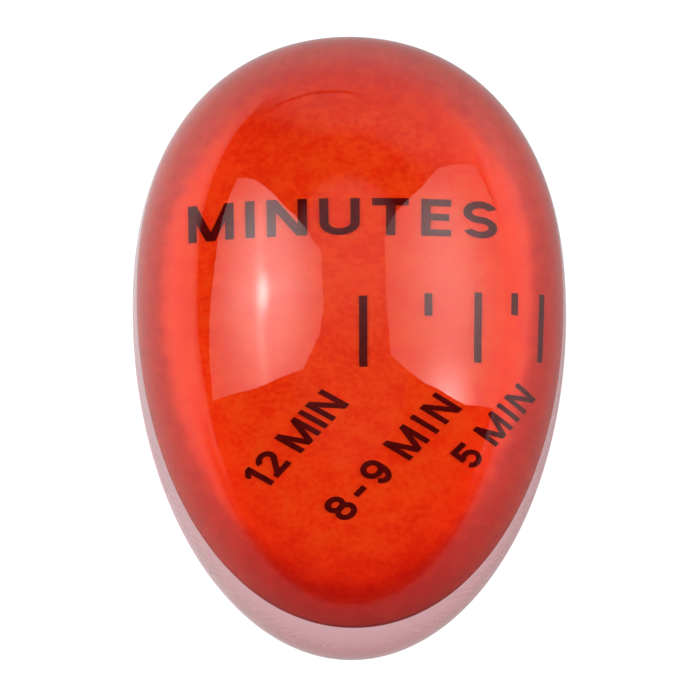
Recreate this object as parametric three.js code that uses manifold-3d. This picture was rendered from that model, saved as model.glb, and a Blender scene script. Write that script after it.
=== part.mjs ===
// A colour-changing egg timer: a clear resin egg cast in two pours around a printed red sheet.
// Millimetres, +Z up. The origin is the centre of the bounding box, on the flat underside.
// The egg lies on its side, its long axis along Y, with the broad end towards +Y.
import * as THREE from "three";
import { mergeVertices } from "three/addons/utils/BufferGeometryUtils.js";
import Module from "manifold-3d";

const wasm = await Module();
wasm.setup();

// The egg: a solid of revolution about its long axis, ground flat underneath
const EGG = { halfWidth: 19.5, broad: { reach: 24.5, power: 2.28 }, narrow: { reach: 32.2, power: 2 } };
const AXIS_HEIGHT = 12.5;
const STEPS_ALONG_EGG = 44;
const STEPS_ROUND_EGG = 64;

// The printed sheet lies in a pocket of the lower casting, its print against the upper casting.
// Its outline is blunter than the egg's, and it lies a little to the right.
const SHEET = { halfWidth: 15.4, broad: { reach: 19.9, power: 2.4 }, narrow: { reach: 27.1, power: 2 } };
const SHEET_OFFSET = 0.25;
const SHEET_THICKNESS = 0.4;
const SHEET_STEPS = 72;
const INK_THICKNESS = 0.1;
const POCKET_CLEARANCE = 0.3;

// The scale: upright bars in a row that climbs gently to the right, at the girth
const SCALE_TOP = -0.45;
const SCALE_RISE = 0.07;
const BAR_WIDTH = 0.46;
const LONG_BAR = 5.65;
const SHORT_BAR = 1.8;
const SCALE_BARS = [
  { name: "bar_12_min", x: 0.8, length: LONG_BAR },
  { name: "tick_10_min", x: 4.7, length: SHORT_BAR },
  { name: "bar_8_min", x: 7.75, length: LONG_BAR },
  { name: "tick_7_min", x: 10.2, length: SHORT_BAR },
  { name: "bar_5_min", x: 12.4, length: LONG_BAR },
];

// The lettering: each line of text is centred on a point of its baseline
const HEADING_CAP = 2.95;
const LABEL_CAP = 2.05;
const SLANT = THREE.MathUtils.degToRad(52.5);
const TEXT_LINES = [
  { name: "heading", text: "MINUTES", cap: HEADING_CAP, tracking: 0.25, angle: 0, at: [-0.4, 4.6] },
  { name: "label_12", text: "12 MIN", cap: LABEL_CAP, tracking: 0.18, angle: SLANT, at: [-2.6, -12.4] },
  { name: "label_8_9", text: "8-9 MIN", cap: LABEL_CAP, tracking: 0.3, angle: SLANT, at: [3.25, -13.9] },
  { name: "label_5", text: "5 MIN", cap: LABEL_CAP, tracking: 0.24, angle: SLANT, at: [9.9, -11.3] },
];

// Letters are strokes on a grid one cap height tall: the baseline is 0, the cap line is 1
const STROKE = 0.18;
const WORD_SPACE = 0.3;
const LOW = STROKE / 2;
const HIGH = 1 - STROKE / 2;
const S_BOWL = (HIGH - LOW) / 4;
const ARC_STEPS = 10;

const GIRTH_Y = (EGG.narrow.reach - EGG.broad.reach) / 2;
const POCKET_DEPTH = SHEET_THICKNESS + INK_THICKNESS;

// ---- solids -------------------------------------------------------------------------------

function toSolid(geometry) {
  const bare = geometry.clone();
  bare.deleteAttribute("normal");
  bare.deleteAttribute("uv");
  const merged = mergeVertices(bare);
  const triangles = [];
  for (let i = 0; i < merged.index.count; i += 3) {
    const [a, b, c] = [0, 1, 2].map((k) => merged.index.getX(i + k));
    if (a !== b && b !== c && c !== a) triangles.push(a, b, c);
  }
  const vertProperties = new Float32Array(merged.attributes.position.array);
  const triVerts = new Uint32Array(triangles);
  return new wasm.Manifold(new wasm.Mesh({ numProp: 3, vertProperties, triVerts }));
}

function toGeometry(solid) {
  const { vertProperties, triVerts } = solid.getMesh();
  const geometry = new THREE.BufferGeometry();
  geometry.setAttribute("position", new THREE.BufferAttribute(vertProperties, 3));
  geometry.setIndex(new THREE.BufferAttribute(triVerts, 1));
  geometry.computeVertexNormals();
  return geometry;
}

function boxSolid(low, high) {
  const size = high.map((value, k) => value - low[k]);
  const geometry = new THREE.BoxGeometry(...size);
  geometry.translate(...high.map((value, k) => (value + low[k]) / 2));
  return toSolid(geometry);
}

function extrude(shape, depth) {
  return new THREE.ExtrudeGeometry(shape, { depth, bevelEnabled: false, curveSegments: ARC_STEPS });
}

// ---- the egg ------------------------------------------------------------------------------

// A point of an egg-shaped outline, moved outwards by growth. The angle runs from the girth on
// the right, at 0, through the broad end, at a quarter turn.
function outlinePoint({ halfWidth, broad, narrow }, angle, growth = 0) {
  const across = Math.cos(angle);
  const along = Math.sin(angle);
  const { reach, power } = along >= 0 ? broad : narrow;
  const x = Math.abs(across) ** (2 / power);
  const y = Math.abs(along) ** (2 / power);
  const normal = new THREE.Vector2(x ** (power - 1) / halfWidth, y ** (power - 1) / reach).normalize();
  return new THREE.Vector2(
    Math.sign(across) * (halfWidth * x + growth * normal.x),
    Math.sign(along) * (reach * y + growth * normal.y),
  );
}

function eggSolid() {
  const profile = [new THREE.Vector2(0, -EGG.narrow.reach)];
  for (let k = 1; k < STEPS_ALONG_EGG; k++) {
    profile.push(outlinePoint(EGG, Math.PI * (k / STEPS_ALONG_EGG - 0.5)));
  }
  profile.push(new THREE.Vector2(0, EGG.broad.reach));
  return toSolid(new THREE.LatheGeometry(profile, STEPS_ROUND_EGG));
}

function sheetShape(growth = 0) {
  const offset = new THREE.Vector2(SHEET_OFFSET, 0);
  const points = [];
  for (let k = 0; k < SHEET_STEPS; k++) {
    points.push(outlinePoint(SHEET, (2 * Math.PI * k) / SHEET_STEPS, growth).add(offset));
  }
  return new THREE.Shape(points);
}

// Everything of the egg between two heights
function slab(bottom, top) {
  return boxSolid([-EGG.halfWidth, -EGG.narrow.reach, bottom], [EGG.halfWidth, EGG.broad.reach, top]);
}

// The dome above the long axis: the first pour, with a flat face for the sheet
function upperCasting() {
  return toGeometry(eggSolid().intersect(slab(0, EGG.halfWidth)));
}

// The second pour, down to the flat underside, with the pocket that it leaves round the sheet
function lowerCasting() {
  const pocket = extrude(sheetShape(POCKET_CLEARANCE), 2 * POCKET_DEPTH);
  pocket.translate(0, 0, -POCKET_DEPTH);
  return toGeometry(eggSolid().intersect(slab(-AXIS_HEIGHT, 0)).subtract(toSolid(pocket)));
}

// ---- lettering ----------------------------------------------------------------------------

function line(x0, y0, x1, y1) {
  const side = new THREE.Vector2(y0 - y1, x1 - x0).setLength(STROKE / 2);
  return new THREE.Shape([
    new THREE.Vector2(x0 - side.x, y0 - side.y),
    new THREE.Vector2(x1 - side.x, y1 - side.y),
    new THREE.Vector2(x1 + side.x, y1 + side.y),
    new THREE.Vector2(x0 + side.x, y0 + side.y),
  ]);
}

// A stroke along part of an ellipse, anticlockwise between two angles in degrees
function arc(x, y, rx, ry, from, to) {
  const [start, end] = [from, to].map(THREE.MathUtils.degToRad);
  const shape = new THREE.Shape();
  shape.absellipse(x, y, rx + STROKE / 2, ry + STROKE / 2, start, end, false);
  shape.absellipse(x, y, rx - STROKE / 2, ry - STROKE / 2, end, start, true);
  return shape;
}

function ring(x, y, rx, ry) {
  const shape = new THREE.Shape().absellipse(x, y, rx + STROKE / 2, ry + STROKE / 2, 0, 2 * Math.PI);
  shape.holes.push(new THREE.Path().absellipse(x, y, rx - STROKE / 2, ry - STROKE / 2, 0, 2 * Math.PI, true));
  return shape;
}

const bothStems = (width) => [line(LOW, 0, LOW, 1), line(width - LOW, 0, width - LOW, 1)];

const GLYPHS = {
  "-": { width: 0.42, strokes: (w) => [line(0, 0.44, w, 0.44)] },
  1: { width: 0.38, strokes: (w) => [line(w - LOW, 0, w - LOW, 1), line(0, 0.72, w - LOW, 0.96)] },
  2: {
    width: 0.7,
    strokes: (w) => [
      arc(w / 2, HIGH - 0.22, w / 2 - LOW, 0.22, -38, 165),
      line(0.57, 0.58, 0.09, 0.06),
      line(0, LOW, w, LOW),
    ],
  },
  5: {
    width: 0.7,
    strokes: (w) => [
      line(0.1, HIGH, w - 0.04, HIGH),
      line(0.17, 1, 0.12, 0.46),
      arc(w / 2, 0.35, w / 2 - LOW, 0.35 - LOW, -155, 138),
    ],
  },
  8: {
    width: 0.72,
    strokes: (w) => [
      ring(w / 2, HIGH - 0.2, w / 2 - LOW - 0.03, 0.2),
      ring(w / 2, LOW + 0.22, w / 2 - LOW, 0.22),
    ],
  },
  9: {
    width: 0.72,
    strokes: (w) => [
      ring(w / 2, HIGH - 0.25, w / 2 - LOW, 0.25),
      arc(w / 2, 0.5, w / 2 - LOW, 0.5 - LOW, -145, 20),
    ],
  },
  E: {
    width: 0.6,
    strokes: (w) => [
      line(LOW, 0, LOW, 1),
      line(LOW, HIGH, w, HIGH),
      line(LOW, 0.52, w - 0.04, 0.52),
      line(LOW, LOW, w, LOW),
    ],
  },
  I: { width: STROKE, strokes: () => [line(LOW, 0, LOW, 1)] },
  M: { width: 1, strokes: (w) => [...bothStems(w), line(LOW, 1, w / 2, 0), line(w / 2, 0, w - LOW, 1)] },
  N: { width: 0.8, strokes: (w) => [...bothStems(w), line(LOW, 1, w - LOW, 0)] },
  S: {
    width: 0.74,
    strokes: (w) => [
      arc(w / 2, HIGH - S_BOWL, w / 2 - LOW, S_BOWL, 22, 270),
      arc(w / 2, LOW + S_BOWL, w / 2 - LOW, S_BOWL, -158, 90),
    ],
  },
  T: { width: 0.72, strokes: (w) => [line(0, HIGH, w, HIGH), line(w / 2, 0, w / 2, 1)] },
  U: {
    width: 0.8,
    strokes: (w) => [
      line(LOW, 0.36, LOW, 1),
      line(w - LOW, 0.36, w - LOW, 1),
      arc(w / 2, 0.36, w / 2 - LOW, 0.36 - LOW, 180, 360),
    ],
  },
};

// One letter as a thin solid of ink: its strokes joined, then trimmed at the baseline and cap line
function glyphGeometry(letter, cap) {
  const { width, strokes } = GLYPHS[letter];
  const solids = strokes(width).map((shape) => toSolid(extrude(shape, INK_THICKNESS)));
  const joined = solids.reduce((whole, solid) => whole.add(solid));
  const trimmed = joined.intersect(boxSolid([0, 0, 0], [width, 1, INK_THICKNESS]));
  const geometry = toGeometry(trimmed);
  geometry.scale(cap, cap, 1);
  return geometry;
}

// ---- materials and assembly ---------------------------------------------------------------

const resin = () =>
  new THREE.MeshStandardMaterial({ color: 0xf4e4e3, roughness: 0.04, transparent: true, opacity: 0.35 });
const indicator = () => new THREE.MeshStandardMaterial({ color: 0xe62d0f, roughness: 0.85 });
const ink = () => new THREE.MeshStandardMaterial({ color: 0x1a0c0b, roughness: 0.6 });

function addMesh(parent, name, geometry, material) {
  const mesh = new THREE.Mesh(geometry, material);
  mesh.name = name;
  parent.add(mesh);
  return mesh;
}

function addScale(legend) {
  for (const { name, x, length } of SCALE_BARS) {
    const mesh = addMesh(legend, name, new THREE.BoxGeometry(BAR_WIDTH, length, INK_THICKNESS), ink());
    mesh.position.set(x, SCALE_TOP + SCALE_RISE * x - length / 2, INK_THICKNESS / 2);
  }
}

function addTextLine(legend, { name, text, cap, tracking, at, angle }) {
  const advances = [...text].map((letter) => (letter === " " ? WORD_SPACE : GLYPHS[letter].width + tracking));
  const length = (advances.reduce((sum, advance) => sum + advance) - tracking) * cap;
  const row = new THREE.Group();
  row.position.set(at[0], at[1], 0);
  row.rotation.z = angle;
  legend.add(row);
  let x = -length / 2;
  [...text].forEach((letter, k) => {
    if (letter !== " ") {
      const label = letter === "-" ? "dash" : letter;
      addMesh(row, `${name}_${k + 1}_${label}`, glyphGeometry(letter, cap), ink()).position.x = x;
    }
    x += advances[k] * cap;
  });
}

const timer = new THREE.Group();
timer.position.set(0, GIRTH_Y, AXIS_HEIGHT);
addMesh(timer, "upper_casting", upperCasting(), resin());
addMesh(timer, "lower_casting", lowerCasting(), resin());

const sheet = addMesh(timer, "indicator_sheet", extrude(sheetShape(), SHEET_THICKNESS), indicator());
sheet.position.z = -POCKET_DEPTH;

const legend = new THREE.Group();
legend.position.z = -INK_THICKNESS;
timer.add(legend);
addScale(legend);
for (const textLine of TEXT_LINES) addTextLine(legend, textLine);

const root = new THREE.Group();
root.add(timer);

export default root;
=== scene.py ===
"""Looks of a clear resin egg timer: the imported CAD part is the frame, and this script adds the smooth
resin, the printed sheet's paper, the ink, a pale floor and the studio lights. Metres, +Z up."""
import math

import bmesh
import bpy
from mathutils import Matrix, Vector


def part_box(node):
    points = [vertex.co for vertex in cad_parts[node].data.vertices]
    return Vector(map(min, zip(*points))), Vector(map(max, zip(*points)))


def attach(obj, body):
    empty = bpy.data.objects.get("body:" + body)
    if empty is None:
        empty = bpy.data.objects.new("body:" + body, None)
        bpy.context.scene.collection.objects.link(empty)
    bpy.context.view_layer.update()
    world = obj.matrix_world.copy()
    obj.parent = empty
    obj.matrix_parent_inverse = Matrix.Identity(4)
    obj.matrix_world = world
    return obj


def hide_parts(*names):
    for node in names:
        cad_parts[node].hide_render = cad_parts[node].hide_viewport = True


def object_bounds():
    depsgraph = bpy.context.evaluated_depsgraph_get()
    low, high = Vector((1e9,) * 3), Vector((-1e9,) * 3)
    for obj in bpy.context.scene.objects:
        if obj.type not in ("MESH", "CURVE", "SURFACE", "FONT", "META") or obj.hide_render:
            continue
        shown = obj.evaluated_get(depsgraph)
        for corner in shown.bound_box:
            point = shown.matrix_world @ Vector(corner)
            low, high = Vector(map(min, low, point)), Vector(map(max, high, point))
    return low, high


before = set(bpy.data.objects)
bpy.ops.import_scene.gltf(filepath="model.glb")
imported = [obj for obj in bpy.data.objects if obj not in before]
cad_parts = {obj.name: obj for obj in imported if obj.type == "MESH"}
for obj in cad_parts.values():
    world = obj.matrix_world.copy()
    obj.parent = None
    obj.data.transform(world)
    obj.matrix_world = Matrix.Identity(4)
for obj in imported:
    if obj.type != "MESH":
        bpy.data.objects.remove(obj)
cad_low, cad_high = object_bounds()

MM = 0.001

# The egg, as in the CAD: a solid of revolution about its long axis, cut flat underneath.
# Each end of an outline has a reach from the girth and the power of its superellipse.
BROAD_POWER = 2.28
NARROW_POWER = 2.0
SHEET_BROAD_POWER = 2.4
upper_low, upper_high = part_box("upper_casting")
sheet_low, sheet_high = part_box("indicator_sheet")
PARTING_Z = upper_low.z
BASE_Z = cad_low.z
GIRTH_Y = max(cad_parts["upper_casting"].data.vertices, key=lambda v: v.co.x).co.y
EGG_RADIUS = upper_high.x
EGG_ENDS = ((cad_high.y - GIRTH_Y, BROAD_POWER), (GIRTH_Y - cad_low.y, NARROW_POWER))
SHEET_X = (sheet_high.x + sheet_low.x) / 2
SHEET_HALF_WIDTH = (sheet_high.x - sheet_low.x) / 2
SHEET_ENDS = ((sheet_high.y - GIRTH_Y, SHEET_BROAD_POWER), (GIRTH_Y - sheet_low.y, NARROW_POWER))

# Meshes
EGG_LEVELS = 110
EGG_SPOKES = 300
BASE_EDGE_ROUND = 0.35 * MM
BASE_EDGE_STEPS = 6
SHEET_POINTS = 240
SHEET_EDGE_ROUND = 0.05 * MM
SHEET_RING_STEP = 0.5 * MM
SHEET_RINGS = 16
SHEET_CORE_RINGS = 6

# Resin: a slight ripple on the dome, fine upright scratches on the lower wall, a rubbed-down base
RESIN_IOR = 1.5
DOME_TINT = (1.0, 0.985, 0.985, 1)
RIPPLE_SCALE = 150
RIPPLE_DEPTH = 0.03 * MM
LOWER_WALL_FADE = (0.2 * MM, 1.2 * MM)
LOWER_WALL_HAZE = 0.06
SCRATCH_SCALE = 2600
SCRATCH_STRETCH = 0.03
SCRATCH_EDGE = (0.55, 0.68)
SCRATCH_PATCH_SCALE = 160
SCRATCH_PATCH_EDGE = (0.40, 0.62)
SCRATCH_ROUGHNESS = 0.35
SCRATCH_DEPTH = 0.004 * MM
SCRATCH_WHITE = 0.18
BASE_TINT = (1.0, 0.97, 0.97, 1)
GRIND_SCALE = 1500
GRIND_STRETCH = 0.06
GRIND_TURN = 0.5
GRIND_ROUGHNESS = (0.30, 0.50)
GRIND_DEPTH = 0.02 * MM

# Sheet: mottled paper, with painted shade along its border by the distance to the rim, and a painted glow
# of emission on it.
# The distance to the rim is in mm. The border's ramps are read as a share of BORDER_REACH.
FIBRE_SCALE = 2600
FIBRE_SHARE = 0.55
FIBRE_DEPTH = 0.02 * MM
BLOTCH_SCALE = 700
MOTTLE_EDGE = (0.36, 0.64)
SHEET_REDS = ((0.0, (0.93, 0.036, 0.002, 1)), (1.0, (1.0, 0.082, 0.008, 1)))
SHEET_BACKS = ((0.3, (0.95, 0.40, 0.40, 1)), (0.7, (1.0, 0.50, 0.50, 1)))
PRINTED_SIDE = (-0.6, -0.2)
RIM_DISTANCE = "rim_distance"
# Painted shade: the sheet's border darkens towards the rim; the tables below give its colours, width and
# strength.
BORDER_REACH = 8.0
BORDER_WOBBLE = 0.7
BORDER_SHADES = (
    (0.00, (0.55, 0.20, 0.60, 1)),
    (0.25, (0.68, 0.22, 0.60, 1)),
    (0.38, (0.77, 0.26, 0.60, 1)),
    (0.47, (0.87, 0.34, 0.55, 1)),
    (0.62, (0.93, 0.50, 0.55, 1)),
    (0.90, (1.0, 1.0, 1.0, 1)),
)
BORDER_LEAN = 0.45 * MM
BORDER_NOTCH = 0.9 * MM
BORDER_NOTCH_SHARPNESS = 16
BORDER_SHOULDERS = ((math.radians(135), 0.85 * MM), (math.radians(55), 0.7 * MM))
BORDER_SHOULDER_SHARPNESS = 8
# How strongly the border's painted shade shows at the left, the right and the broad end.
BORDER_LEFT = (-13 * MM, -2 * MM)
BORDER_LEFT_SHARE = 0.72
BORDER_RIGHT = (4 * MM, 13 * MM)
BORDER_RIGHT_SHARE = 0.82
BORDER_BROAD_END = (5 * MM, 15 * MM)
BORDER_BROAD_END_SHARE = 0.72
# Painted light: the sheet glows by emission, strongest at the sides and towards the narrow end.
GLOW_COLOUR = (1.0, 0.09, 0.01, 1)
SIDE_GLOW = 0.19
SIDE_GLOW_FADE = (3 * MM, 10 * MM)
SIDE_GLOW_ZONE = ((0.41, 0.12), (0.54, 1.0), (0.64, 0.9), (0.80, 0.45), (1.0, 0.1))
EVEN_GLOW = 0.028
END_GLOW = 0.075
END_GLOW_FADE = (5 * MM, -20 * MM)
INSIDE_BORDER = (0.34, 0.60)
INSIDE_BORDER_LEAST = 0.1

# Ink
INK_PATCH_SCALE = 2500
INK_COLOURS = ((0.35, (0.11, 0.001, 0.001, 1)), (0.7, (0.17, 0.003, 0.002, 1)))

# Floor: the sweep is what the camera sees, the table what the egg mirrors and refracts, with its light and
# shade painted into its glow. Directions on the table run from -1, to the left or in front, to 1, to the
# right or behind.
FLOOR_SIZE = 30
SWEEP_DROP = 0.04 * MM
SWEEP_GLOW = 0.75
SWEEP_GRAIN_SCALE = 900
SWEEP_SHADE = 0.3
SWEEP_SHADE_SPREAD = 0.01
TABLE_DROP = 0.02 * MM
TABLE_SIDES = 1.1
TABLE_FRONT = 0.5
TABLE_FRONT_SECTOR = (-0.9, 0.1)
TABLE_BACK = 0.75
TABLE_BACK_SECTOR = (0.5, 0.95)
# Painted shadow on the table near the egg.
TABLE_NEAR = 0.45
TABLE_NEAR_LEFT = 0.72
TABLE_LEFT_SECTOR = (-0.8, 0.1)
TABLE_FADE = (30 * MM, 110 * MM)
FRONT_FADE = (120 * MM, 420 * MM)
FRONT_FADE_SECTOR = (0.05, -0.35)
FRONT_FADE_SHARE = 0.8
# Painted pink light under the egg.
UNDER_EGG = 0.96
UNDER_FADE = (14 * MM, 30 * MM)
PAINTED_PINK_LIGHT = (1.0, 0.64, 0.69, 1)

# Softboxes, 45 degrees up on either side. Outlines, and the centres and widths of glows, are
# (along +Y, up the panel) in units of the panel's distance.
SOFTBOX_DISTANCE = 1.3
LEFT_OUTLINE = (
    (-0.12, -0.76), (0.15, -0.66), (0.54, -0.47), (0.73, -0.40), (0.68, -0.20), (0.48, 0.20),
    (0.34, 0.60), (0.10, 0.62), (-0.03, 0.56), (-0.15, 0.36), (-0.16, -0.15),
)
LEFT_BASE = 1.0
LEFT_GLOWS = (
    {"centre": (0.20, 0.04), "width": (0.39, 0.43), "strength": 4.0},
    {"centre": (0.10, -0.04), "width": (0.30, 0.05), "strength": 1.6},
    {"centre": (0.16, 0.0), "width": (0.06, 0.05), "strength": 8.0},
    {"centre": (0.17, 0.0), "width": (0.035, 0.40), "strength": 0.7},
)
RIGHT_OUTLINE = (
    (-0.13, -0.98), (0.55, -0.98), (0.92, -0.72), (0.76, -0.17), (0.60, 0.06), (0.47, 0.35),
    (0.38, 0.50), (0.12, 0.49), (-0.10, 0.43), (-0.17, 0.07), (-0.19, -0.41),
)
RIGHT_BASE = 1.2
RIGHT_GLOWS = (
    {"centre": (0.23, -0.11), "width": (0.35, 0.42), "strength": 2.4},
    {"centre": (-0.21, -0.22), "width": (0.13, 0.24), "strength": 5.6},
)

# Room round the egg. Heights, edges and sectors are components of a direction, from -1 to 1.
WALL_FACING = (0.25, 0.97, 0)
WALL_EDGE = (0.60, 0.85)
WALL_TOP = (0.56, 0.68)
WALL_TOP_SHARE = 0.2
WALL_HEIGHTS = (0.1, 0.5)
WALL_GLOWS = (0.74, 0.58)
WALL_GAP_HEIGHT = 0.295
WALL_GAP_TILT = 0.26
WALL_GAP_EDGE = (0.008, 0.024)
WALL_GAP_DEPTH = 0.8
WALL_GAP_END = (0.12, 0.0)
CEILING_EDGE = (0.80, 0.87)
CEILING_GLOW = 0.68
CEILING_FRONT_SECTOR = (-0.2, 0.26)
CEILING_FRONT_SHARE = 0.2
HORIZON_EDGE = (0.03, 0.07)
HORIZON_GLOW = 0.75
HORIZON_FRONT_SECTOR = (-0.45, -0.15)
ROOM_GLOW = 0.02
BACKDROP_GLOW = 1.0

# What shows through the clear resin: an evenly lit table and surround, and paler softboxes
THROUGH_TABLE = 0.62
THROUGH_HORIZON = 0.62
THROUGH_ABOVE = 0.38
THROUGH_HEIGHTS = (0.1, 0.6)
THROUGH_SOFTBOX = 0.7

# Camera and picture
CAMERA_AZIMUTH = math.radians(-0.47)
CAMERA_ELEVATION = math.radians(72)
CAMERA_DISTANCE = 0.4
FRAME_WIDTH = 63.06 * MM
SENSOR_WIDTH = 36
SHIFT_X = 0.001
SHIFT_Y = -0.0603
CLIP_START = 0.01
EXPOSURE = 0.28
GAMMA = 0.87
MAX_BOUNCES = 16
TRANSMISSION_BOUNCES = 12


# ---- node helpers -------------------------------------------------------------------------

def new_material(name):
    material = bpy.data.materials.new(name)
    material.use_nodes = True
    return material, material.node_tree, material.node_tree.nodes["Principled BSDF"]


def connect(tree, value, target):
    """Feeds an input from another node's output, or sets it to a plain value."""
    if isinstance(value, bpy.types.NodeSocket):
        tree.links.new(value, target)
    else:
        target.default_value = value


def node(tree, kind, **settings):
    """Adds a shader node. Settings name its properties, or its inputs when given as in_Name."""
    made = tree.nodes.new(kind)
    for key, value in settings.items():
        if key.startswith("in_"):
            connect(tree, value, made.inputs[key[3:].replace("_", " ")])
        else:
            setattr(made, key, value)
    return made


def math_node(tree, operation, *values):
    made = node(tree, "ShaderNodeMath", operation=operation)
    for target, value in zip(made.inputs, values):
        connect(tree, value, target)
    return made.outputs["Value"]


def plus(tree, one, other):
    return math_node(tree, "ADD", one, other)


def minus(tree, one, other):
    return math_node(tree, "SUBTRACT", one, other)


def over(tree, one, other):
    return math_node(tree, "DIVIDE", one, other)


def times(tree, product, *factors):
    for factor in factors:
        product = math_node(tree, "MULTIPLY", product, factor)
    return product


def span(tree, value, low, high, to_low=0.0, to_high=1.0):
    """Maps value from low..high to to_low..to_high, smoothly and clamped."""
    made = node(tree, "ShaderNodeMapRange", interpolation_type="SMOOTHSTEP", in_Value=value)
    for name, number in zip(("From Min", "From Max", "To Min", "To Max"), (low, high, to_low, to_high)):
        made.inputs[name].default_value = number
    return made.outputs["Result"]


def blend(tree, factor, low, high):
    """low where factor is 0, high where it is 1."""
    return plus(tree, low, times(tree, factor, minus(tree, high, low)))


def grey(value):
    return (value, value, value, 1)


def ramp(tree, factor, stops):
    """Colours by factor. Each stop is a position and a colour."""
    made = node(tree, "ShaderNodeValToRGB", in_Fac=factor)
    elements = made.color_ramp.elements
    for element, (position, colour) in zip(elements, stops):
        element.position = position
        element.color = colour
    for position, colour in stops[len(elements):]:
        elements.new(position).color = colour
    return made.outputs["Color"]


def object_position(tree):
    """The position on the object, in metres."""
    return node(tree, "ShaderNodeTexCoord").outputs["Object"]


def place(tree, scale=(1, 1, 1), rotation=(0, 0, 0)):
    """The position on the object, scaled and turned, for a texture to be read at."""
    mapping = node(tree, "ShaderNodeMapping", in_Vector=object_position(tree), in_Scale=scale)
    mapping.inputs["Rotation"].default_value = rotation
    return mapping.outputs["Vector"]


def split(tree, vector):
    """The X, Y and Z outputs of a vector."""
    return node(tree, "ShaderNodeSeparateXYZ", in_Vector=vector).outputs


def noise(tree, vector, scale, detail=2.0, roughness=0.5):
    made = node(tree, "ShaderNodeTexNoise", in_Vector=vector, in_Scale=scale, in_Detail=detail)
    made.inputs["Roughness"].default_value = roughness
    return made.outputs["Fac"]


def bump(tree, height, distance, normal=None):
    made = node(tree, "ShaderNodeBump", in_Height=height, in_Distance=distance, in_Strength=1.0)
    if normal is not None:
        tree.links.new(normal, made.inputs["Normal"])
    return made.outputs["Normal"]


def seen_through(tree):
    """1 for what the camera sees through clear resin, else 0, so that it doesn't light the sheet."""
    path = node(tree, "ShaderNodeLightPath").outputs
    first = math_node(tree, "LESS_THAN", path["Diffuse Depth"], 0.5)
    return times(tree, path["Is Transmission Ray"], first)


def emitter(name):
    """A material that only gives off light. Its strength and colour are left to the caller."""
    material, tree, shader = new_material(name)
    tree.nodes.remove(shader)
    emission = node(tree, "ShaderNodeEmission")
    tree.links.new(emission.outputs["Emission"], tree.nodes["Material Output"].inputs["Surface"])
    return material, tree, emission


# ---- materials ----------------------------------------------------------------------------

def glass_shader(name, tint):
    """Clear casting resin. Roughness and normal are left to the caller."""
    material, tree, shader = new_material(name)
    shader.inputs["Base Color"].default_value = tint
    shader.inputs["Transmission Weight"].default_value = 1.0
    shader.inputs["IOR"].default_value = RESIN_IOR
    return material, tree, shader


def resin_material():
    """Polished dome with a slight ripple, and fine upright scratches below the parting plane."""
    material, tree, shader = glass_shader("clear_resin", DOME_TINT)
    height = split(tree, object_position(tree))["Z"]
    below = span(tree, height, PARTING_Z - LOWER_WALL_FADE[0], PARTING_Z - LOWER_WALL_FADE[1])
    upright = place(tree, scale=(1, 1, SCRATCH_STRETCH))
    hairs = span(tree, noise(tree, upright, SCRATCH_SCALE, detail=3, roughness=0.7), *SCRATCH_EDGE)
    patches = span(tree, noise(tree, place(tree), SCRATCH_PATCH_SCALE), *SCRATCH_PATCH_EDGE)
    scratches = times(tree, hairs, patches, below)
    haze = times(tree, below, LOWER_WALL_HAZE)
    rough = plus(tree, times(tree, scratches, SCRATCH_ROUGHNESS), haze)
    tree.links.new(rough, shader.inputs["Roughness"])
    ripple = bump(tree, noise(tree, place(tree), RIPPLE_SCALE, detail=1), RIPPLE_DEPTH)
    tree.links.new(bump(tree, scratches, SCRATCH_DEPTH, ripple), shader.inputs["Normal"])
    clear = minus(tree, 1.0, times(tree, scratches, SCRATCH_WHITE))
    tree.links.new(clear, shader.inputs["Transmission Weight"])
    return material


def ground_resin_material():
    """The flat base, rubbed down on abrasive paper."""
    material, tree, shader = glass_shader("ground_resin", BASE_TINT)
    across = place(tree, scale=(1, GRIND_STRETCH, 1), rotation=(0, 0, GRIND_TURN))
    grind = noise(tree, across, GRIND_SCALE, detail=4, roughness=0.7)
    rough = node(tree, "ShaderNodeMapRange", in_Value=grind)
    rough.inputs["To Min"].default_value = GRIND_ROUGHNESS[0]
    rough.inputs["To Max"].default_value = GRIND_ROUGHNESS[1]
    tree.links.new(rough.outputs["Result"], shader.inputs["Roughness"])
    tree.links.new(bump(tree, grind, GRIND_DEPTH), shader.inputs["Normal"])
    return material


def border_painted_shade_share(tree, where):
    """How strongly the border's painted shade tells: less to the left, to the right and at the broad end.
    """
    left = span(tree, where["X"], *BORDER_LEFT, BORDER_LEFT_SHARE, 1.0)
    right = span(tree, where["X"], *BORDER_RIGHT, 1.0, BORDER_RIGHT_SHARE)
    start, end = (GIRTH_Y + beyond for beyond in BORDER_BROAD_END)
    broad_end = span(tree, where["Y"], start, end, 1.0, BORDER_BROAD_END_SHARE)
    return times(tree, left, right, broad_end)


def painted_glow(tree, where, from_rim):
    """Painted light: an emission glow on the sheet, strongest along the border's inner edge at the sides,
    and a little more towards the narrow end."""
    aside = math_node(tree, "ABSOLUTE", where["X"])
    sides = span(tree, aside, *SIDE_GLOW_FADE, 0.0, SIDE_GLOW)
    zone = ramp(tree, from_rim, [(position, grey(value)) for position, value in SIDE_GLOW_ZONE])
    start, end = (GIRTH_Y + beyond for beyond in END_GLOW_FADE)
    even = span(tree, where["Y"], start, end, EVEN_GLOW, END_GLOW)
    inside = span(tree, from_rim, *INSIDE_BORDER, INSIDE_BORDER_LEAST, 1.0)
    return plus(tree, times(tree, sides, zone), times(tree, even, inside))


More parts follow.
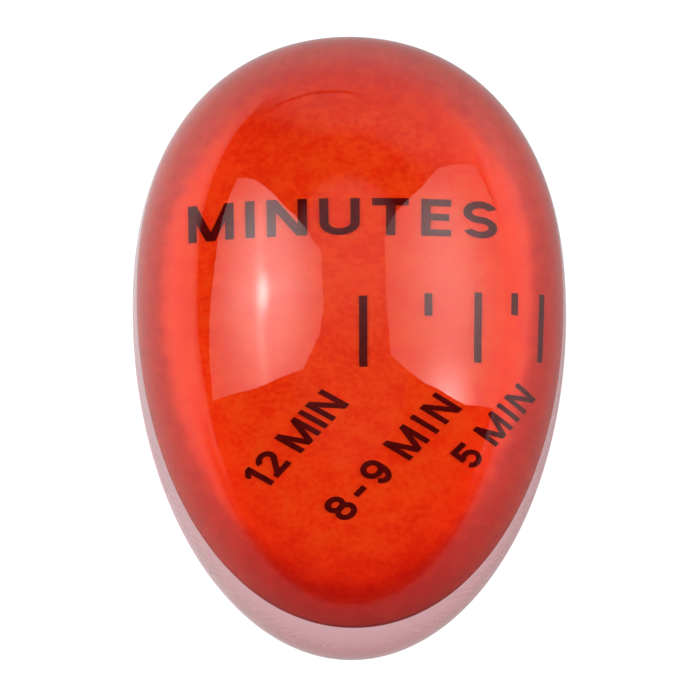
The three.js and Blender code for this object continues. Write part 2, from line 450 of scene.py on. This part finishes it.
def sheet_material():
    """Heat-sensitive paper: mottled orange red, with painted shade darkening it to crimson near the rim
    and a painted glow, paler behind.
    """
    material, tree, shader = new_material("red_indicator_paper")
    position = place(tree)
    where = split(tree, position)
    fibres = noise(tree, position, FIBRE_SCALE, detail=3, roughness=0.6)
    blotches = noise(tree, position, BLOTCH_SCALE, detail=3)
    mixed = plus(tree, times(tree, fibres, FIBRE_SHARE), times(tree, blotches, 1 - FIBRE_SHARE))
    red = ramp(tree, span(tree, mixed, *MOTTLE_EDGE), SHEET_REDS)

    # Painted shade: the border darkens the red towards the rim, less to the left, the right and the broad
    # end.
    distance = node(tree, "ShaderNodeAttribute", attribute_name=RIM_DISTANCE).outputs["Fac"]
    wobble = times(tree, minus(tree, blotches, 0.5), BORDER_WOBBLE)
    from_rim = over(tree, plus(tree, distance, wobble), BORDER_REACH)
    front = node(
        tree, "ShaderNodeMixRGB", blend_type="MULTIPLY", in_Fac=border_painted_shade_share(tree, where),
        in_Color1=red, in_Color2=ramp(tree, from_rim, BORDER_SHADES),
    )

    facing = split(tree, node(tree, "ShaderNodeTexCoord").outputs["Normal"])
    printed_side = span(tree, facing["Z"], *PRINTED_SIDE)
    colour = node(
        tree, "ShaderNodeMixRGB", in_Fac=printed_side, in_Color1=ramp(tree, blotches, SHEET_BACKS),
        in_Color2=front.outputs["Color"],
    )
    tree.links.new(colour.outputs["Color"], shader.inputs["Base Color"])
    # Painted light: emission on the sheet's printed side.
    glow = times(tree, painted_glow(tree, where, from_rim), printed_side)
    tree.links.new(glow, shader.inputs["Emission Strength"])
    shader.inputs["Emission Color"].default_value = GLOW_COLOUR
    shader.inputs["Roughness"].default_value = 0.9
    shader.inputs["Specular IOR Level"].default_value = 0.05
    tree.links.new(bump(tree, fibres, FIBRE_DEPTH), shader.inputs["Normal"])
    return material


def ink_material():
    material, tree, shader = new_material("black_print")
    patches = noise(tree, place(tree), INK_PATCH_SCALE, detail=3)
    tree.links.new(ramp(tree, patches, INK_COLOURS), shader.inputs["Base Color"])
    shader.inputs["Roughness"].default_value = 0.8
    shader.inputs["Specular IOR Level"].default_value = 0.05
    return material


# ---- pieces -------------------------------------------------------------------------------

def turn(k, steps):
    """The angle of point k on a round of so many steps."""
    return 2 * math.pi * k / steps


def outline_point(half_width, ends, angle, inset):
    """A point of an egg-shaped outline, as (x, y) from the girth's centre, moved inwards by inset."""
    across = math.cos(angle)
    along = math.sin(angle)
    reach, power = ends[0] if along >= 0 else ends[1]
    x = abs(across) ** (2 / power)
    y = abs(along) ** (2 / power)
    normal = Vector((x ** (power - 1) / half_width, y ** (power - 1) / reach)).normalized()
    return Vector((
        math.copysign(half_width * x - inset * normal.x, across),
        math.copysign(reach * y - inset * normal.y, along),
    ))


def level_curve(height):
    """The egg's outline at a height above its axis, as (x, y) from the girth's centre."""
    points = []
    for k in range(EGG_SPOKES):
        angle = turn(k, EGG_SPOKES)
        reach, power = EGG_ENDS[0] if math.sin(angle) >= 0 else EGG_ENDS[1]
        extent = reach * (1 - (abs(height) / EGG_RADIUS) ** power) ** (1 / power)
        y = extent * math.sin(angle)
        radius = EGG_RADIUS * (1 - (abs(y) / reach) ** power) ** (1 / power)
        x = math.sqrt(max(0.0, radius ** 2 - height ** 2))
        points.append(Vector((math.copysign(x, math.cos(angle)), y)))
    return points


def make_object(name, work, *materials):
    """Turns a bmesh into an object of the scene."""
    mesh = bpy.data.meshes.new(name)
    work.to_mesh(mesh)
    work.free()
    for material in materials:
        mesh.materials.append(material)
    made = bpy.data.objects.new(name, mesh)
    bpy.context.scene.collection.objects.link(made)
    return made


def add_ring(work, points, z):
    return [work.verts.new((point.x, GIRTH_Y + point.y, z)) for point in points]


def join_rings(work, rings):
    for one, other in zip(rings, rings[1:]):
        for k in range(len(one)):
            work.faces.new((one[k - 1], one[k], other[k], other[k - 1]))


def close_ring(work, ring, middle):
    for k in range(len(ring)):
        work.faces.new((ring[k - 1], ring[k], middle))


def base_edge_rings(work, base_height):
    """The rounded edge of the base: each point follows a parabola from the flat to the wall."""
    corner = level_curve(base_height)
    wall = level_curve(base_height + BASE_EDGE_ROUND)
    rings = []
    for k in range(BASE_EDGE_STEPS + 1):
        t = k / BASE_EDGE_STEPS
        points = []
        for edge, above in zip(corner, wall):
            inner = edge * (1 - BASE_EDGE_ROUND / edge.length)
            points.append(inner * (1 - t) ** 2 + edge * 2 * t * (1 - t) + above * t ** 2)
        rings.append(add_ring(work, points, BASE_Z + BASE_EDGE_ROUND * t ** 2))
    return rings


def resin_egg():
    """The whole clear body as one optical solid: the two pours bond without a visible joint."""
    work = bmesh.new()
    base_height = BASE_Z - PARTING_Z
    rings = base_edge_rings(work, base_height)
    lowest = math.asin((base_height + BASE_EDGE_ROUND) / EGG_RADIUS)
    for k in range(1, EGG_LEVELS):
        height = EGG_RADIUS * math.sin(lowest + (math.pi / 2 - lowest) * k / EGG_LEVELS)
        rings.append(add_ring(work, level_curve(height), PARTING_Z + height))
    join_rings(work, rings)
    base = work.faces.new(rings[0])
    crown = work.verts.new((0, GIRTH_Y, PARTING_Z + EGG_RADIUS))
    close_ring(work, rings[-1], crown)
    bmesh.ops.recalc_face_normals(work, faces=work.faces)
    for face in work.faces:
        face.smooth = face is not base
    base.material_index = 1
    egg = make_object("resin_egg", work, resin_material(), ground_resin_material())
    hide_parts("upper_casting", "lower_casting")
    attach(egg, "root")


def border_lean(angle):
    """How much wider the sheet's border of painted shade is towards an angle: wider at the right and at a
    shoulder on either side of the broad end, narrower at the left and at the broad end itself."""
    lean = BORDER_LEAN * math.cos(angle)
    lean -= BORDER_NOTCH * max(0.0, math.sin(angle)) ** BORDER_NOTCH_SHARPNESS
    for middle, extra in BORDER_SHOULDERS:
        lean += extra * max(0.0, math.cos(angle - middle)) ** BORDER_SHOULDER_SHARPNESS
    return lean


def sheet_ring(work, layer, distance, z, shrink=1.0):
    """A ring at a distance from the rim, shrunk towards the middle. Its points note how far in they
    count as, for the border's painted shade."""
    angles = [turn(k, SHEET_POINTS) for k in range(SHEET_POINTS)]
    points = []
    for angle in angles:
        point = outline_point(SHEET_HALF_WIDTH, SHEET_ENDS, angle, distance) * shrink
        points.append(point + Vector((SHEET_X, 0)))
    ring = add_ring(work, points, z)
    for angle, vert in zip(angles, ring):
        vert[layer] = (distance - border_lean(angle)) / MM + (1 - shrink) * BORDER_REACH
    return ring


def sheet_face(work, layer, z):
    """One face of the sheet: rings from near its rim inwards, closed at the middle."""
    rings = [sheet_ring(work, layer, SHEET_EDGE_ROUND, z)]
    for k in range(1, SHEET_RINGS):
        rings.append(sheet_ring(work, layer, SHEET_RING_STEP * k, z))
    innermost = SHEET_RING_STEP * (SHEET_RINGS - 1)
    for k in range(1, SHEET_CORE_RINGS):
        rings.append(sheet_ring(work, layer, innermost, z, 1 - k / SHEET_CORE_RINGS))
    middle = work.verts.new((SHEET_X, GIRTH_Y, z))
    middle[layer] = innermost / MM + BORDER_REACH
    close_ring(work, rings[-1], middle)
    return rings


def printed_sheet():
    """The red sheet, made of rings that follow its outline."""
    work = bmesh.new()
    layer = work.verts.layers.float.new(RIM_DISTANCE)
    below = sheet_face(work, layer, sheet_low.z)
    above = sheet_face(work, layer, sheet_high.z)
    edge = [
        sheet_ring(work, layer, 0, sheet_low.z + SHEET_EDGE_ROUND),
        sheet_ring(work, layer, 0, sheet_high.z - SHEET_EDGE_ROUND),
    ]
    join_rings(work, below[::-1] + edge + above)
    bmesh.ops.recalc_face_normals(work, faces=work.faces)
    sheet = make_object("printed_sheet", work, sheet_material())
    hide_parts("indicator_sheet")
    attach(sheet, "root")


def ink_marks():
    """The print keeps its CAD solids and gets its ink."""
    material = ink_material()
    printed = set(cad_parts) - {"upper_casting", "lower_casting", "indicator_sheet"}
    for name in sorted(printed):
        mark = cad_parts[name]
        mark.data.materials.clear()
        mark.data.materials.append(material)


# ---- floor --------------------------------------------------------------------------------

def floor_plane(name, height, material):
    bpy.ops.mesh.primitive_plane_add(size=FLOOR_SIZE, location=(0, 0, height))
    plane = bpy.context.object
    plane.name = name
    plane.data.materials.append(material)
    return plane


def sweep_material():
    material, tree, shader = new_material("white_sweep")
    grain = noise(tree, place(tree), SWEEP_GRAIN_SCALE, detail=3)
    darker = grey(SWEEP_SHADE - SWEEP_SHADE_SPREAD)
    paler = grey(SWEEP_SHADE + SWEEP_SHADE_SPREAD)
    tree.links.new(ramp(tree, grain, ((0.3, darker), (0.7, paler))), shader.inputs["Base Color"])
    shader.inputs["Emission Color"].default_value = grey(1.0)
    shader.inputs["Emission Strength"].default_value = SWEEP_GLOW
    shader.inputs["Roughness"].default_value = 0.9
    shader.inputs["Specular IOR Level"].default_value = 0.1
    return material


def table_material():
    """Painted light and shade: brightest at the sides, a painted shadow near the egg, darker in front, and
    painted pink light under the egg. Seen through the resin it is even, apart from the pink."""
    material, tree, emission = emitter("grey_table")
    position = object_position(tree)
    where = split(tree, position)
    length = node(tree, "ShaderNodeVectorMath", operation="LENGTH")
    tree.links.new(position, length.inputs[0])
    away = length.outputs["Value"]
    forward = over(tree, where["Y"], away)
    sideways = over(tree, where["X"], away)
    # Painted shadow near the egg and painted shade in front, brighter at the sides.
    near = span(tree, sideways, *TABLE_LEFT_SECTOR, TABLE_NEAR_LEFT, TABLE_NEAR)
    front = span(tree, forward, *TABLE_FRONT_SECTOR, TABLE_FRONT, TABLE_SIDES)
    back = span(tree, forward, *TABLE_BACK_SECTOR, 1.0, TABLE_BACK)
    gone = span(tree, away, *FRONT_FADE, 0.0, FRONT_FADE_SHARE)
    gone = times(tree, gone, span(tree, forward, *FRONT_FADE_SECTOR))
    far = times(tree, front, back, minus(tree, 1.0, gone))
    lit = blend(tree, span(tree, away, *TABLE_FADE), near, far)
    lit = blend(tree, seen_through(tree), lit, THROUGH_TABLE)
    # Painted pink light under the egg.
    beneath = span(tree, away, *UNDER_FADE, UNDER_EGG, 1.0)
    tree.links.new(times(tree, lit, beneath), emission.inputs["Strength"])
    tint = ramp(tree, span(tree, away, *UNDER_FADE), ((0.0, PAINTED_PINK_LIGHT), (1.0, grey(1.0))))
    tree.links.new(tint, emission.inputs["Color"])
    return material


def floor():
    """A wide pale floor. The camera sees it as a clean white sweep; the egg mirrors and refracts a
    greyer table that lies just above it."""
    sweep = floor_plane("white_sweep", BASE_Z - SWEEP_DROP, sweep_material())
    sweep.visible_glossy = False
    sweep.visible_transmission = False
    sweep.visible_diffuse = False
    table = floor_plane("grey_table", BASE_Z - TABLE_DROP, table_material())
    table.visible_camera = False


# ---- studio -------------------------------------------------------------------------------

def soft_patch(tree, across, up, centre, width, strength):
    """A soft bright patch of a softbox, in the panel's own units."""
    dx = over(tree, minus(tree, across, centre[0]), width[0])
    dy = over(tree, minus(tree, up, centre[1]), width[1])
    square = plus(tree, times(tree, dx, dx), times(tree, dy, dy))
    return times(tree, math_node(tree, "POWER", math.e, times(tree, square, -1.0)), strength)


def softbox_material(name, base, glows):
    material, tree, emission = emitter(name)
    where = split(tree, place(tree, scale=(1 / SOFTBOX_DISTANCE,) * 3))
    strength = base
    for glow in glows:
        strength = plus(tree, soft_patch(tree, where["X"], where["Y"], **glow), strength)
    strength = blend(tree, seen_through(tree), strength, THROUGH_SOFTBOX)
    tree.links.new(strength, emission.inputs["Strength"])
    return material


def softbox(name, side, outline, base, glows):
    """A panel that faces the egg from 45 degrees up, on the left for side -1 and the right for 1."""
    work = bmesh.new()
    work.faces.new([work.verts.new((u * SOFTBOX_DISTANCE, v * SOFTBOX_DISTANCE, 0)) for u, v in outline])
    panel = make_object(name, work, softbox_material(name, base, glows))
    along = Vector((0, 1, 0))
    up = Vector((-side, 0, 1)).normalized()
    for column, axis in enumerate((along, up, along.cross(up))):
        for row in range(3):
            panel.matrix_world[row][column] = axis[row]
    toward = Vector((side, 0, 1)).normalized()
    panel.matrix_world.translation = toward * SOFTBOX_DISTANCE + Vector((0, GIRTH_Y, PARTING_Z))
    panel.visible_camera = False


def wall_glow(tree, direction, where):
    """The pale wall behind the egg, with a dark slanting gap on its left."""
    behind = node(tree, "ShaderNodeVectorMath", operation="DOT_PRODUCT")
    tree.links.new(direction, behind.inputs[0])
    behind.inputs[1].default_value = WALL_FACING
    back = span(tree, behind.outputs["Value"], *WALL_EDGE)
    upper = span(tree, where["Z"], *WALL_TOP, 1.0, WALL_TOP_SHARE)
    lower = span(tree, where["Z"], *WALL_HEIGHTS, *WALL_GLOWS)
    rise = minus(tree, minus(tree, where["Z"], times(tree, where["X"], WALL_GAP_TILT)), WALL_GAP_HEIGHT)
    gap = span(tree, math_node(tree, "ABSOLUTE", rise), *WALL_GAP_EDGE, WALL_GAP_DEPTH, 0.0)
    gap = times(tree, gap, span(tree, where["X"], *WALL_GAP_END))
    return times(tree, upper, lower, back, minus(tree, 1.0, gap))


def room():
    """The light from all round: a wall behind, a ceiling, and a pale horizon at the sides and back."""
    world = bpy.data.worlds.new("studio")
    bpy.context.scene.world = world
    world.use_nodes = True
    tree = world.node_tree
    direction = node(tree, "ShaderNodeTexCoord").outputs["Generated"]
    where = split(tree, direction)
    ceiling = span(tree, where["Z"], *CEILING_EDGE, 0.0, CEILING_GLOW)
    ceiling = times(tree, ceiling, span(tree, where["Y"], *CEILING_FRONT_SECTOR, CEILING_FRONT_SHARE, 1.0))
    horizon = span(tree, where["Z"], *HORIZON_EDGE, HORIZON_GLOW, 0.0)
    horizon = times(tree, horizon, span(tree, where["Y"], *HORIZON_FRONT_SECTOR))
    above = plus(tree, wall_glow(tree, direction, where), ceiling)
    strength = plus(tree, math_node(tree, "MAXIMUM", above, horizon), ROOM_GLOW)
    through = span(tree, where["Z"], *THROUGH_HEIGHTS, THROUGH_HORIZON, THROUGH_ABOVE)
    strength = blend(tree, seen_through(tree), strength, through)
    to_camera = node(tree, "ShaderNodeLightPath").outputs["Is Camera Ray"]
    strength = blend(tree, to_camera, strength, BACKDROP_GLOW)
    background = tree.nodes["Background"]
    background.inputs["Color"].default_value = grey(1.0)
    tree.links.new(strength, background.inputs["Strength"])


def studio():
    softbox("left_softbox", -1, LEFT_OUTLINE, LEFT_BASE, LEFT_GLOWS)
    softbox("right_softbox", 1, RIGHT_OUTLINE, RIGHT_BASE, RIGHT_GLOWS)
    room()


# ---- camera and picture -------------------------------------------------------------------

def camera():
    target = Vector((0, GIRTH_Y, PARTING_Z))
    level = math.cos(CAMERA_ELEVATION)
    back = Vector((
        math.sin(CAMERA_AZIMUTH) * level,
        -math.cos(CAMERA_AZIMUTH) * level,
        math.sin(CAMERA_ELEVATION),
    ))
    data = bpy.data.cameras.new("camera")
    data.sensor_width = SENSOR_WIDTH
    data.lens = SENSOR_WIDTH * CAMERA_DISTANCE / FRAME_WIDTH
    data.shift_x = SHIFT_X
    data.shift_y = SHIFT_Y
    data.clip_start = CLIP_START
    made = bpy.data.objects.new("camera", data)
    bpy.context.scene.collection.objects.link(made)
    made.location = target + back * CAMERA_DISTANCE
    made.rotation_euler = (-back).to_track_quat("-Z", "Y").to_euler()
    bpy.context.scene.camera = made


def render_settings():
    scene = bpy.context.scene
    scene.view_settings.view_transform = "Standard"
    scene.view_settings.exposure = EXPOSURE
    scene.view_settings.gamma = GAMMA
    scene.cycles.use_denoising = True
    scene.cycles.max_bounces = MAX_BOUNCES
    scene.cycles.transmission_bounces = TRANSMISSION_BOUNCES


camera()
resin_egg()
printed_sheet()
ink_marks()
floor()
studio()
render_settings()
